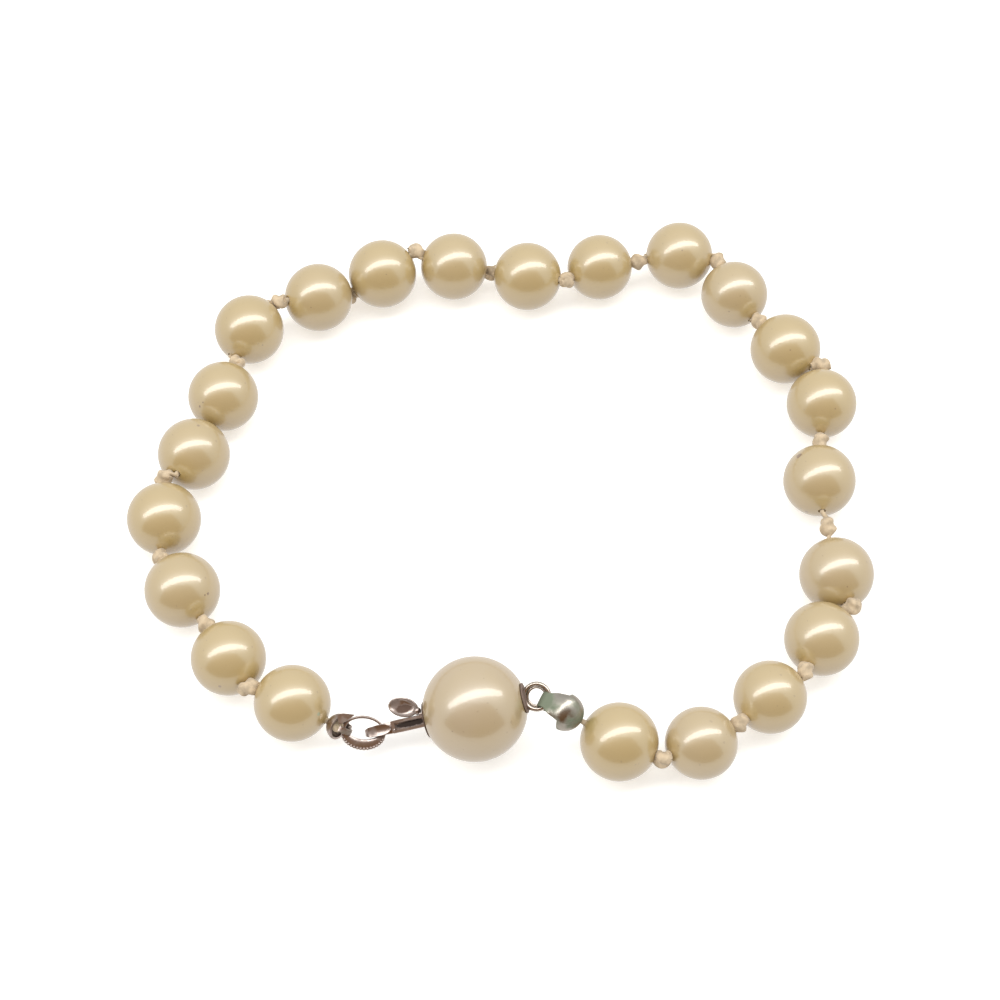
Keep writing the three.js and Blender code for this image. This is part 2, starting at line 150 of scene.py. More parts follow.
def sweep(points, radii, sides, lobes=0.0, twist=0.0, closed=False):
    """A tube along points. lobes is the depth of its two plies, and twist their turns per metre."""
    count = len(points)
    vertices = []
    across = Vector((0.31, 0.2, 0.93))
    length = 0.0
    for index, point in enumerate(points):
        before = points[index - 1] if index or closed else point
        after = points[(index + 1) % count] if index < count - 1 or closed else point
        along = (after - before).normalized()
        across = (across - along * across.dot(along)).normalized()
        third = along.cross(across)
        for side in range(sides):
            angle = 2 * math.pi * side / sides
            ply = 1 + lobes * math.cos(2 * (angle - 2 * math.pi * twist * length))
            reach = radii[index] * ply
            vertices.append(point + (across * math.cos(angle) + third * math.sin(angle)) * reach)
        length += (after - point).length
    faces = []
    last = count if closed else count - 1
    for ring in range(last):
        near = ring * sides
        far = ((ring + 1) % count) * sides
        for side in range(sides):
            beside = (side + 1) % sides
            faces.append((near + side, near + beside, far + beside, far + side))
    if not closed:
        faces.append(tuple(reversed(range(sides))))
        faces.append(tuple(range((count - 1) * sides, count * sides)))
    return vertices, faces


def merge(*parts):
    """Several (vertices, faces) as one."""
    vertices = []
    faces = []
    for part_vertices, part_faces in parts:
        start = len(vertices)
        vertices.extend(Vector(vertex) for vertex in part_vertices)
        faces.extend(tuple(start + index for index in face) for face in part_faces)
    return vertices, faces


def moved(part, matrix):
    vertices, faces = part
    return [matrix @ Vector(vertex) for vertex in vertices], faces


def arc(centre, radius, start, end, steps):
    """Points on an arc in a plane, from one angle to another in degrees."""
    points = []
    for step in range(steps + 1):
        angle = math.radians(start + (end - start) * step / steps)
        points.append((centre[0] + radius * math.cos(angle), centre[1] + radius * math.sin(angle)))
    return points


def curve_at(a, b, c, d, t):
    """The value at t of a smooth curve from b to c, when a comes before them and d after."""
    straight = 2 * b + (c - a) * t
    return 0.5 * (straight + (2 * a - 5 * b + 4 * c - d) * t**2 + (3 * b - a - 3 * c + d) * t**3)


def smooth_path(points, steps):
    """More points on a smooth curve through points, which may have any number of coordinates."""
    ends = [points[0], *points, points[-1]]
    smooth = []
    for corners in zip(ends, ends[1:], ends[2:], ends[3:]):
        for step in range(steps):
            smooth.append(tuple(curve_at(*values, step / steps) for values in zip(*corners)))
    return [*smooth, points[-1]]


def in_metres(rows):
    return [tuple(value * MM for value in row) for row in rows]


def strip(path, thickness, bends=(0.0, 0.0)):
    """A soft-edged strip along a path of (x, y, width), across Z.

    bends says how far it is curved across at its start and its end, as 1 / radius.
    """
    count = len(path)
    shares = (-1, -0.93, -0.6, -0.2, 0.2, 0.6, 0.93, 1)  # places across it, as shares of its half width
    vertices = []
    for index, (x, y, width) in enumerate(path):
        x0, y0, _ = path[max(index - 1, 0)]
        x1, y1, _ = path[min(index + 1, count - 1)]
        length = math.hypot(x1 - x0, y1 - y0)
        share_done = index / (count - 1)
        bend = bends[0] * (1 - share_done) + bends[1] * share_done
        for level, row in ((1, shares), (-1, shares[::-1])):
            for share in row:
                across = share * width / 2
                edge = EDGE_THICKNESS if abs(share) == 1 else 1.0
                off = level * edge * thickness / 2 - across**2 * bend / 2
                vertices.append((x - (y1 - y0) / length * off, y + (x1 - x0) / length * off, across))
    sides = 2 * len(shares)
    faces = []
    for ring in range(count - 1):
        near = ring * sides
        for side in range(sides):
            beside = (side + 1) % sides
            faces.append((near + side, near + beside, near + sides + beside, near + sides + side))
    faces.append(tuple(reversed(range(sides))))
    faces.append(tuple(range((count - 1) * sides, count * sides)))
    return vertices, faces


def ball(centre, radius, segments=16, rows=10):
    """A small sphere."""
    profile = [(0.0, -radius)]
    for row in range(1, rows):
        angle = math.pi * row / rows
        profile.append((radius * math.sin(angle), -radius * math.cos(angle)))
    profile.append((0.0, radius))
    vertices = [Vector(centre) + Vector((profile[0][1], 0, 0))]
    for across, along in profile[1:-1]:
        for step in range(segments):
            angle = 2 * math.pi * step / segments
            spoke = Vector((along, across * math.cos(angle), across * math.sin(angle)))
            vertices.append(Vector(centre) + spoke)
    vertices.append(Vector(centre) + Vector((profile[-1][1], 0, 0)))
    faces = []
    for step in range(segments):
        beside = (step + 1) % segments
        faces.append((0, 1 + beside, 1 + step))
        for row in range(rows - 2):
            near = 1 + row * segments
            far = near + segments
            faces.append((near + step, near + beside, far + beside, far + step))
        last = 1 + (rows - 2) * segments
        faces.append((last + step, last + beside, len(vertices) - 1))
    return vertices, faces


def frame_at(origin, direction, top):
    """Axes at a point, +X along direction and +Z as near as can be to top."""
    x = direction.normalized()
    z = (top - x * top.dot(x)).normalized()
    y = z.cross(x)
    matrix = Matrix((x, y, z)).transposed().to_4x4()
    matrix.translation = origin
    return matrix


# Materials


def new_material(name, **sockets):
    material = bpy.data.materials.new(name)
    material.use_nodes = True
    shader = material.node_tree.nodes["Principled BSDF"]
    for socket, value in sockets.items():
        shader.inputs[socket.replace("_", " ")].default_value = value
    return material, material.node_tree, shader


def link(tree, source, output, target, socket):
    tree.links.new(source.outputs[output], target.inputs[socket])


def object_noise(tree, scale, detail=4.0):
    """Noise in the piece's own coordinates; scale counts features per millimetre."""
    coordinates = tree.nodes.new("ShaderNodeTexCoord")
    texture = tree.nodes.new("ShaderNodeTexNoise")
    texture.inputs["Scale"].default_value = scale / MM
    texture.inputs["Detail"].default_value = detail
    link(tree, coordinates, "Object", texture, "Vector")
    return texture


def ramp(tree, source, output, *stops):
    """A colour ramp of (position, colour) stops."""
    node = tree.nodes.new("ShaderNodeValToRGB")
    elements = node.color_ramp.elements
    elements[0].position, elements[0].color = stops[0][0], (*stops[0][1], 1)
    elements[1].position, elements[1].color = stops[-1][0], (*stops[-1][1], 1)
    for position, colour in stops[1:-1]:
        element = elements.new(position)
        element.color = (*colour, 1)
    link(tree, source, output, node, "Fac")
    return node


def mix(tree, factor, factor_output, first, second):
    """Mixes two colours: each is a node with a Color output or an (r, g, b)."""
    node = tree.nodes.new("ShaderNodeMix")
    node.data_type = "RGBA"
    link(tree, factor, factor_output, node, "Factor")
    for socket, value in ((6, first), (7, second)):
        if isinstance(value, tuple):
            node.inputs[socket].default_value = (*value, 1)
        else:
            tree.links.new(value, node.inputs[socket])
    return node.outputs[2]


def spot(tree, centre, radii, ragged, turn=Matrix()):
    """1 inside a ragged oval spot and 0 outside. centre and radii are in axes turned by turn."""
    coordinates = tree.nodes.new("ShaderNodeTexCoord")
    turned = tree.nodes.new("ShaderNodeMapping")
    turned.inputs["Rotation"].default_value = turn.to_3x3().inverted().to_euler()
    link(tree, coordinates, "Object", turned, "Vector")
    wobble = tree.nodes.new("ShaderNodeTexNoise")
    wobble.inputs["Scale"].default_value = 1.2 / min(radii)
    link(tree, turned, "Vector", wobble, "Vector")
    scaled = tree.nodes.new("ShaderNodeVectorMath")
    scaled.operation = "MULTIPLY_ADD"
    link(tree, turned, "Vector", scaled, 0)
    scaled.inputs[1].default_value = tuple(1 / radius for radius in radii)
    scaled.inputs[2].default_value = tuple(
        -place / radius - ragged / 2 for place, radius in zip(centre, radii)
    )
    offset = tree.nodes.new("ShaderNodeVectorMath")
    offset.operation = "MULTIPLY_ADD"
    link(tree, wobble, "Color", offset, 0)
    offset.inputs[1].default_value = (ragged,) * 3
    link(tree, scaled, 0, offset, 2)
    distance = tree.nodes.new("ShaderNodeVectorMath")
    distance.operation = "LENGTH"
    link(tree, offset, 0, distance, 0)
    edge = tree.nodes.new("ShaderNodeMapRange")
    edge.inputs["From Min"].default_value = 1.0
    edge.inputs["From Max"].default_value = 0.72
    link(tree, distance, "Value", edge, "Value")
    return edge


CREAM = (0.50, 0.375, 0.18)
CREAM_DEEP = (0.48, 0.345, 0.125)
CREAM_PALE = (0.475, 0.37, 0.235)
CHIP_BROWN = (0.20, 0.11, 0.05)
SPECK_BROWN = (0.34, 0.24, 0.13)
PITTED = (0.30, 0.20, 0.11)
GREENISH = (0.33, 0.36, 0.2)
# A painted glint: a small pale spot standing for a reflection on the lacquer.
PAINTED_GLINT = (0.8, 0.8, 0.75)


def near_drill_holes(tree, radius, axis):
    """A mask of the two ends of a pearl, whose holes run along axis."""
    coordinates = tree.nodes.new("ShaderNodeTexCoord")
    along = tree.nodes.new("ShaderNodeVectorMath")
    along.operation = "DOT_PRODUCT"
    link(tree, coordinates, "Object", along, 0)
    along.inputs[1].default_value = tuple(axis)
    size = tree.nodes.new("ShaderNodeMath")
    size.operation = "ABSOLUTE"
    link(tree, along, "Value", size, 0)
    mask = tree.nodes.new("ShaderNodeMapRange")
    mask.interpolation_type = "SMOOTHSTEP"
    mask.inputs["From Min"].default_value = radius * 0.72
    mask.inputs["From Max"].default_value = radius * 1.02
    mask.inputs["To Max"].default_value = 0.75
    link(tree, size, "Value", mask, "Value")
    return mask


def add_bump(tree, shader, sockets, texture, strength, depth):
    """Roughens the surface by a texture, to a depth in mm."""
    bump = tree.nodes.new("ShaderNodeBump")
    bump.inputs["Strength"].default_value = strength
    bump.inputs["Distance"].default_value = depth * MM
    link(tree, texture, "Fac", bump, "Height")
    for socket in sockets:
        link(tree, bump, "Normal", shader, socket)


def pearl_material(name, radius, tint, axis, spots):
    """Cream lacquer, yellower round the drill holes, with its own specks and chips, and on the clasp pearl a
    small painted glint.
    """
    material, tree, shader = new_material(
        name,
        Roughness=0.36,
        Coat_Weight=1.0,
        Coat_Roughness=0.1,
        Coat_IOR=1.65,
        IOR=2.4,
    )
    body = ramp(
        tree,
        object_noise(tree, 0.16, 2.0),
        "Fac",
        (0.35, tint),
        (0.7, tuple(a * 0.6 + b * 0.4 for a, b in zip(tint, CREAM_DEEP))),
    )
    near_hole = near_drill_holes(tree, radius, axis)
    colour = mix(tree, near_hole, "Result", body.outputs["Color"], CREAM_DEEP)
    specks = object_noise(tree, 2.4, 1.0)
    speck_mask = ramp(tree, specks, "Fac", (0.735, (0, 0, 0)), (0.76, (0.5, 0.5, 0.5)))
    colour = mix(tree, speck_mask, "Color", colour, SPECK_BROWN)
    for centre, spot_radius, spot_colour in spots:
        patch = spot(tree, centre, (spot_radius,) * 3, 1.0)
        colour = mix(tree, patch, "Result", colour, spot_colour)
    tree.links.new(colour, shader.inputs["Base Color"])
    add_bump(tree, shader, ("Normal", "Coat Normal"), object_noise(tree, 3.5, 3.0), 0.1, 0.02)
    return material


def silk_material(name, colour):
    material, tree, shader = new_material(name, Roughness=0.85, Sheen_Weight=0.5, Sheen_Roughness=0.4)
    shader.inputs["Specular IOR Level"].default_value = 0.25
    dark = tuple(value * 0.72 for value in colour)
    tone = ramp(tree, object_noise(tree, 1.6), "Fac", (0.38, dark), (0.6, colour))
    link(tree, tone, "Color", shader, "Base Color")
    add_bump(tree, shader, ("Normal",), object_noise(tree, 9.0), 0.5, 0.05)
    return material


def metal_material(name, colour, tarnish, amount, roughness, stains_and_shade=(), turn=Matrix()):
    """Metal, tarnished in patches: amount is how much of it is covered.

    Each patch is (centre, radii, colour), in mm along axes turned by turn; some patches are real stains and
    some are painted shade in recesses and between parts.
    """
    material, tree, shader = new_material(name, Metallic=1.0)
    patches = object_noise(tree, 0.9, 3.0)
    low = 0.66 - amount * 0.5
    mask = ramp(tree, patches, "Fac", (low, (0, 0, 0)), (low + 0.26, (1, 1, 1)))
    tone = mix(tree, mask, "Color", colour, tarnish)
    covered = mask.outputs["Color"]
    # Patches laid over the tone: real stains, and painted shade in recesses and between parts.
    for centre, radii, mark_colour in stains_and_shade:
        patch = spot(tree, Vector(centre) * MM, [radius * MM for radius in radii], 0.5, turn)
        tone = mix(tree, patch, "Result", tone, mark_colour)
        either = tree.nodes.new("ShaderNodeMath")
        either.operation = "MAXIMUM"
        tree.links.new(covered, either.inputs[0])
        link(tree, patch, "Result", either, 1)
        covered = either.outputs["Value"]
    tree.links.new(tone, shader.inputs["Base Color"])
    for socket, clean, dull in (("Roughness", roughness, roughness + 0.35), ("Metallic", 1.0, 0.35)):
        change = tree.nodes.new("ShaderNodeMapRange")
        change.inputs["To Min"].default_value = clean
        change.inputs["To Max"].default_value = dull
        tree.links.new(covered, change.inputs["Value"])
        link(tree, change, "Result", shader, socket)
    add_bump(tree, shader, ("Normal",), object_noise(tree, 1.3, 2.0), 0.4, 0.04)
    return material


ROSE_SILVER = (0.50, 0.43, 0.405)
PALE_SILVER = (0.56, 0.51, 0.46)
GREY_SILVER = (0.42, 0.395, 0.355)
# Brown tarnish in patches on the metal; the same brown is also painted shade on the tongue-end plate.
BROWN_TARNISH_AND_SHADE = (0.15, 0.10, 0.08)
# Painted shade in the tongue's groove and under its curled end.
RECESS_SHADE = (0.04, 0.025, 0.02)
VERDIGRIS = (0.20, 0.235, 0.17)
# Olive tarnish, also used as painted shade inside the cup by the tongue.
OLIVE = (0.15, 0.125, 0.075)
# Painted shade in the thumb tab's hollow.
TAB_HOLLOW_SHADE = (0.13, 0.08, 0.06)

SILK = (0.66, 0.53, 0.375)

# Patches in each piece's own axes: centre and radii in mm, and colour. Those on the end plates and the tongue
# are painted shade, the olive inside the cup by the tongue is partly tarnish and partly painted shade, and
# the verdigris by the eye is a real stain.
# Painted shade on both end plates, darkening them where they meet the ball: the plate by the tongue and the
# plate by the eye.
BOX_PAINTED_SHADE = [
    ((-4.25, 0.0, 0.0), (0.35, 2.4, 2.4), BROWN_TARNISH_AND_SHADE),
    ((4.32, 0.0, 0.0), (0.2, 2.0, 2.0), (0.24, 0.17, 0.14)),
]
# Painted shade on the tongue: a dark line along its groove, a dark hollow in the thumb tab and dark under the
# curled end.
TONGUE_PAINTED_SHADE = [
    ((-5.6, -0.1, 0.0), (1.75, 0.3, 0.3), RECESS_SHADE),
    ((-5.98, -0.15, 1.34), (0.9, 0.5, 0.4), TAB_HOLLOW_SHADE),
    ((-9.0, 0.1, -0.3), (1.3, 0.5, 0.6), RECESS_SHADE),
]
# Olive inside the cup by the tongue: partly tarnish, partly painted shade in the cup's hollow.
TONGUE_TIP_SHADE_AND_TARNISH = [((-0.3, 0.1, 0.1), (0.7, 0.7, 0.75), OLIVE)]
EYE_TIP_STAINS = [((2.2, 0.0, 0.6), (1.1, 1.2, 0.9), VERDIGRIS)]


# Pearls


def pearl_places():
    """Centre and radius of each pearl, from the CAD."""
    places = []
    for number in range(1, PEARL_COUNT + 1):
        low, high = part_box(f"pearl_{number:02d}")
        size = high - low
        radius = max(size) / 2
        places.append(((low + high) / 2, radius))
    return places


def knot_places(pearls):
    """Each knot's place, and whether it is in line with its two pearls."""
    reach = KNOT_RADIUS + KNOT_CLEARANCE
    knots = []
    for (before, r0), (after, r1), side in zip(pearls, pearls[1:], KNOT_SIDES):
        step = after - before
        distance = step.length
        near = r0 + reach
        far = r1 + reach
        direction = step.normalized()
        if distance >= near + far:
            knots.append((before + direction * (r0 + (distance - r0 - r1) / 2), True))
            continue
        along = (distance**2 + near**2 - far**2) / (2 * distance)
        aside = math.sqrt(near**2 - along**2)
        outward = Vector((-direction.y, direction.x, 0)).normalized()
        upward = direction.cross(outward)
        angle = math.radians(side)
        offset = outward * math.cos(angle) + upward * math.sin(angle)
        knots.append((before + direction * along + offset * aside, False))
    return knots


def pearl_shape(radius, segments=72, rows=44):
    """A drilled sphere about +X, with a softened edge round its hole."""
    soft = 0.07 * MM
    start = math.asin((BORE_RADIUS + soft) / radius)
    profile = []
    for row in range(rows + 1):
        angle = start + (math.pi - 2 * start) * row / rows
        profile.append((radius * math.sin(angle), -radius * math.cos(angle)))
    end = profile[-1][1]
    rim = [(BORE_RADIUS + soft * 0.3, end + soft * 0.25), (BORE_RADIUS, end - soft)]
    profile += rim
    profile += [(across, -along) for across, along in reversed(rim)]
    return lathe(profile, segments)


def on_sphere(azimuth, elevation, radius):
    a = math.radians(azimuth)
    e = math.radians(elevation)
    return Vector((math.cos(e) * math.cos(a), math.cos(e) * math.sin(a), math.sin(e))) * radius


# Marks on the lacquer: pearl, azimuth and elevation in degrees, radius in mm, colour.
MARKS = [
    (1, -35, 25, 0.2, GREENISH),
    (17, 148, 43, 0.34, CHIP_BROWN),
    (17, -114, -12, 0.2, PITTED),
    (2, -98, 14, 0.16, PITTED),
    (3, -27, 30, 0.14, CHIP_BROWN),
    (3, -33, 33, 0.09, CHIP_BROWN),
    (5, 59, 66, 0.16, PITTED),
    (6, -130, 28, 0.13, CHIP_BROWN),
    (6, -126, 38, 0.08, CHIP_BROWN),
    (7, -60, 20, 0.08, PITTED),
    (8, -100, 35, 0.07, PITTED),
    (9, -75, 50, 0.07, PITTED),
    (13, -90, 60, 0.08, PITTED),
    (14, -105, 20, 0.09, PITTED),
    (15, -90, 52, 0.08, PITTED),
    (16, -70, 45, 0.08, PITTED),
    (18, -80, 40, 0.09, PITTED),
]


def add_pearls(pearls, axes):
    for number, ((centre, radius), axis) in enumerate(zip(pearls, axes), start=1):
        spots = [
            (on_sphere(azimuth, elevation, radius), size * MM, colour)
            for pearl, azimuth, elevation, size, colour in MARKS
            if pearl == number
        ]
        blend = random.uniform(-0.5, 1.0)
        other = CREAM_PALE if blend > 0 else CREAM_DEEP
        tint = tuple(a + (b - a) * abs(blend) * 0.5 for a, b in zip(CREAM, other))
        material = pearl_material(f"pearl_{number:02d}_lacquer", radius, tint, axis, spots)
        turn = Vector((1, 0, 0)).rotation_difference(axis).to_matrix().to_4x4()
        shape = moved(pearl_shape(radius), turn)
        place = Matrix.Translation(centre)
        add_mesh(f"bead_{number:02d}", *shape, material, "pearl", [f"pearl_{number:02d}"], place)


# Silk


def knot_stations(at, start, end, size, skew):
    """(place, radius) rows along a knot. skew moves its widest part along it."""
    direction = (end - start).normalized()
    rows = []
    for step in range(KNOT_STEPS + 1):
        share = 2 * step / KNOT_STEPS - 1
        full = (1 - share**2) ** 0.6 * (1 + skew * share)
        radius = THREAD_RADIUS + (size - THREAD_RADIUS) * full
        rows.append((at + direction * share * size * KNOT_LENGTH, radius))
    return rows


def add_silk(pearls, axes, knots, ends):
    """One thread from end knot to end knot, through each pearl along its own axis."""
    places = [(ends[0], True), *knots, (ends[1], True)]
    mouths = []
    for index, ((centre, radius), axis) in enumerate(zip(pearls, axes)):
        leads = [LEAD_TO_KNOT if places[index + side][1] else LEAD_ASIDE for side in (0, 1)]
        before, after = (radius + lead for lead in leads)
        mouths.append((centre - axis * before, centre, centre + axis * after))
    stations = []
    for index, (at, _) in enumerate(places):
        start = mouths[index - 1][2] if index else at - (mouths[0][0] - at)
        end = mouths[index][0] if index < PEARL_COUNT else at + (at - start)
        size = KNOT_RADIUS * KNOT_FULLNESS if 0 < index < PEARL_COUNT else END_KNOT_RADIUS
        stations += knot_stations(at, start, end, size, random.uniform(-KNOT_SKEW, KNOT_SKEW))
        if index < PEARL_COUNT:
            stations += [(place, THREAD_RADIUS * THREAD_FULLNESS) for place in mouths[index]]
    points = [place for place, _ in stations]
    radii = [radius for _, radius in stations]
    shape = sweep(points, radii, SILK_SIDES, PLY_DEPTH, TWIST)
    add_mesh("knotted_silk", *shape, silk_material("silk", SILK), "silk", ["silk_thread"])


# Clasp


def clasp_axes():
    low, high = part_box("clasp_pearl")
    turn = (
        Matrix.Rotation(math.radians(CLASP_HEADING), 4, "Z")
        @ Matrix.Rotation(math.radians(-CLASP_PITCH), 4, "Y")
        @ Matrix.Rotation(math.radians(-CLASP_ROLL), 4, "X")
    )
    return Matrix.Translation((low + high) / 2) @ turn


def add_clasp_pearl(axes):
    start = math.asin(TONGUE_END / BALL_RADIUS)
    end = math.asin(EYE_END / BALL_RADIUS)
    rows = 60
    profile = [(BALL_BORE, TONGUE_END)]
    for row in range(rows + 1):
        angle = start + (end - start) * row / rows
        profile.append((BALL_RADIUS * math.cos(angle), BALL_RADIUS * math.sin(angle)))
    profile.append((BALL_BORE, EYE_END))
    marks = [
        (Vector((-1.8, -3.2, 2.4)).normalized() * BALL_RADIUS, 0.07 * MM, PITTED),
        # This pale mark is a painted glint.
        (Vector((0.3, -4.0, -1.4)).normalized() * BALL_RADIUS, 0.05 * MM, PAINTED_GLINT),
    ]
    material = pearl_material("clasp_pearl_lacquer", BALL_RADIUS, CREAM_PALE, Vector((1, 0, 0)), marks)
    add_mesh("bead_clasp", *lathe(profile, 96), material, "clasp_pearl", ["clasp_pearl"], axes)


def plate(radius, start):
    """A round plate about +X with softened edges."""
    soft = PLATE_THICKNESS * 0.35
    end = start + PLATE_THICKNESS
    profile = [
        (PLATE_CENTRE_HOLE, start),
        (radius - soft, start),
        (radius, start + soft),
        (radius, end - soft),
        (radius - soft, end),
        (PLATE_CENTRE_HOLE, end),
    ]
    return lathe(profile, 48)


def ring(centre, radius, wire):
    """A round wire ring that faces -Y."""
    steps = 64
    points = []
    for step in range(steps):
        angle = 2 * math.pi * step / steps
        points.append(centre + Vector((math.cos(angle) * radius, 0, math.sin(angle) * radius)))
    return sweep(points, [wire] * steps, 14, closed=True)


def add_clasp_box(axes):
    """The end plates, and the eye with the thin second ring inside it."""
    tongue_plate = plate(TONGUE_PLATE_RADIUS, TONGUE_END - PLATE_GAP - PLATE_THICKNESS)
    eye_plate = plate(EYE_PLATE_RADIUS, EYE_END + PLATE_GAP)
    eye = ring(EYE_CENTRE, EYE_RADIUS, EYE_WIRE)
    inner = ring(EYE_CENTRE + Vector((0, 0.1, 0)) * MM, 0.78 * MM, 0.11 * MM)
    shape = merge(tongue_plate, eye_plate, eye, inner)
    metal = metal_material("eye_silver", PALE_SILVER, BROWN_TARNISH_AND_SHADE, 0.15, 0.26, BOX_PAINTED_SHADE, axes)
    add_mesh("clasp_plates_and_eye", *shape, metal, "silver", ["clasp_box"], axes)


def channel_bar():
    """The tongue's channel along X."""
    half = TONGUE_WIDTH / 2
    deep = TONGUE_DEPTH / 2
    wall = TONGUE_WALL
    bottom = wall - deep
    soft = 0.05
    section = [
        (soft - deep, -half),
        (-deep, soft - half),
        (-deep, wall - half - soft),
        (soft - deep, wall - half),
        (bottom, wall - half),
        (bottom, half - wall),
        (soft - deep, half - wall),
        (-deep, half - wall + soft),
        (-deep, half - soft),
        (soft - deep, half),
        (deep - soft, half),
        (deep, half - soft),
        (deep, soft - half),
        (deep - soft, -half),
    ]
    count = len(section)
    vertices = in_metres([(x, y, z) for x in (CHANNEL_END, TONGUE_REACH) for y, z in section])
    faces = [tuple(range(count)), tuple(reversed(range(count, 2 * count)))]
    for side in range(count):
        beside = (side + 1) % count
        faces.append((beside, side, count + side, count + beside))
    return vertices, faces


def dish(length, width, profile):
    """An oval dish facing -Y, from (share of the way out, depth) rows."""
    vertices, faces = lathe(profile, 56)
    oval = [Vector((across * length / 2, along, third * width / 2)) for along, across, third in vertices]
    return oval, [tuple(reversed(face)) for face in faces]


def hook_shape():
    """The tongue's end, folded over the link and tapered to a rounded point."""
    path = smooth_path([(-6.9, 0.24, 1.1), (-7.9, 0.36, 1.0), (-8.8, 0.47, 0.85)], 4)
    path += [(x, y, 0.45 + 1.6 * y**2) for x, y in arc(CURL_CENTRE, CURL_RADIUS, 97, 263, 22)]
    tapered = [(-8.8, -0.5, 0.88), (-8.2, -0.52, 0.95), (-7.7, -0.47, 0.75), (-7.35, -0.4, 0.3)]
    path += smooth_path(tapered, 4)
    return strip(in_metres(path), STRIP * MM, (0.5 / MM, 1.0 / MM))


def tab_shape():
    """The oval thumb tab, with a raised rim round its hollow."""
    rows = [
        (0.01, 0.12),
        (0.3, 0.1),
        (0.6, 0.05),
        (0.76, 0.0),
        (0.86, -0.1),
        (0.92, -0.16),
        (0.97, -0.15),
        (1.0, -0.08),
        (1.0, 0.06),
        (0.93, 0.16),
        (0.75, 0.27),
        (0.45, 0.34),
        (0.01, 0.36),
    ]
    tab = dish(TAB_LENGTH * MM, TAB_WIDTH * MM, [(across, depth * MM) for across, depth in rows])
    turn = Matrix.Rotation(math.radians(TAB_TILT), 4, "Y")
    return moved(tab, Matrix.Translation(Vector(TAB_CENTRE) * MM) @ turn)


def add_tongue(axes):
    end_rows = [(-7.3, 0.0, 1.0), (-7.2, 0.0, TONGUE_WIDTH), (-6.98, 0.0, TONGUE_WIDTH)]
    end_wall = strip(in_metres(end_rows), TONGUE_DEPTH * MM)
    spring_path = in_metres([(-4.7, -0.61, 0.7), (TONGUE_REACH, -0.61, 0.7)])
    spring = moved(strip(spring_path, 0.15 * MM), Matrix.Rotation(math.radians(-90), 4, "X"))
    post = ball(Vector(POST_CENTRE) * MM, POST_RADIUS * MM)
    rivet = ball(Vector(RIVET_CENTRE) * MM, RIVET_RADIUS * MM)
    shape = merge(channel_bar(), end_wall, hook_shape(), spring, post, rivet, tab_shape())
    metal = metal_material("tongue_silver", ROSE_SILVER, BROWN_TARNISH_AND_SHADE, 0.25, 0.3, TONGUE_PAINTED_SHADE, axes)
    add_mesh("tongue_and_tab", *shape, metal, "silver", ["clasp_tongue"], axes)


# The link: an oval band whose hole is off centre, with a beaded lower edge. In mm.
LINK_LENGTH = 3.8
LINK_HEIGHT = 2.9
HOLE_LENGTH = 3.0
HOLE_HEIGHT = 1.75
HOLE_RAISED = 0.32
LINK_THICKNESS = 0.36
LINK_CENTRE = (-9.75, -0.4, 0.1)
LINK_TURN = 18  # degrees, outer end raised in the plane of the ring
LINK_LEAN = 13  # degrees, outer end brought forward
LINK_STEPS = 96
LINK_SIDES = 14
GRAIN_RADIUS = 0.13
GRAIN_COUNT = 17
GRAINS_FROM = -168  # degrees round the link
GRAINS_SPREAD = 150


def link_axes(axes):
    return (
        axes
        @ Matrix.Translation(Vector(LINK_CENTRE) * MM)
        @ Matrix.Rotation(math.radians(LINK_TURN), 4, "Y")
        @ Matrix.Rotation(math.radians(LINK_LEAN), 4, "Z")
    )


def oval(angle, length, height, y=0.0, raised=0.0):
    """A point of an oval that faces -Y."""
    return Vector((math.cos(angle) * length / 2, y, math.sin(angle) * height / 2 + raised)) * MM


def squared(value):
    """Fills out a cosine or sine, for a circle that is nearly a square."""
    return math.copysign(abs(value) ** 0.6, value)


def add_link_ring(axes):
    vertices = []
    faces = []
    for step in range(LINK_STEPS):
        angle = 2 * math.pi * step / LINK_STEPS
        outer = oval(angle, LINK_LENGTH, LINK_HEIGHT)
        inner = oval(angle, HOLE_LENGTH, HOLE_HEIGHT, raised=HOLE_RAISED)
        near = step * LINK_SIDES
        far = (step + 1) % LINK_STEPS * LINK_SIDES
        for side in range(LINK_SIDES):
            turn = 2 * math.pi * side / LINK_SIDES
            depth = squared(math.sin(turn)) * LINK_THICKNESS / 2 * MM
            place = inner.lerp(outer, 0.5 + 0.5 * squared(math.cos(turn)))
            vertices.append(place + Vector((0, depth, 0)))
            beside = (side + 1) % LINK_SIDES
            faces.append((near + side, far + side, far + beside, near + beside))
    inset = GRAIN_RADIUS * 1.6
    grains = []
    for grain in range(GRAIN_COUNT):
        angle = math.radians(GRAINS_FROM + GRAINS_SPREAD * grain / (GRAIN_COUNT - 1))
        place = oval(angle, LINK_LENGTH - inset, LINK_HEIGHT - inset, y=-LINK_THICKNESS / 2)
        grains.append(ball(place, GRAIN_RADIUS * MM, 10, 6))
    metal = metal_material("silver_tone", ROSE_SILVER, BROWN_TARNISH_AND_SHADE, 0.25, 0.32)
    shape = merge((vertices, faces), *grains)
    add_mesh("oval_link", *shape, metal, "silver", ["link_ring"], link_axes(axes))


TIP_WALL = 0.2 * MM
TIP_HOLE = 0.34 * MM
TIP_KNOT_GAP = 0.1 * MM
TIP_MOUTH = math.radians(25)


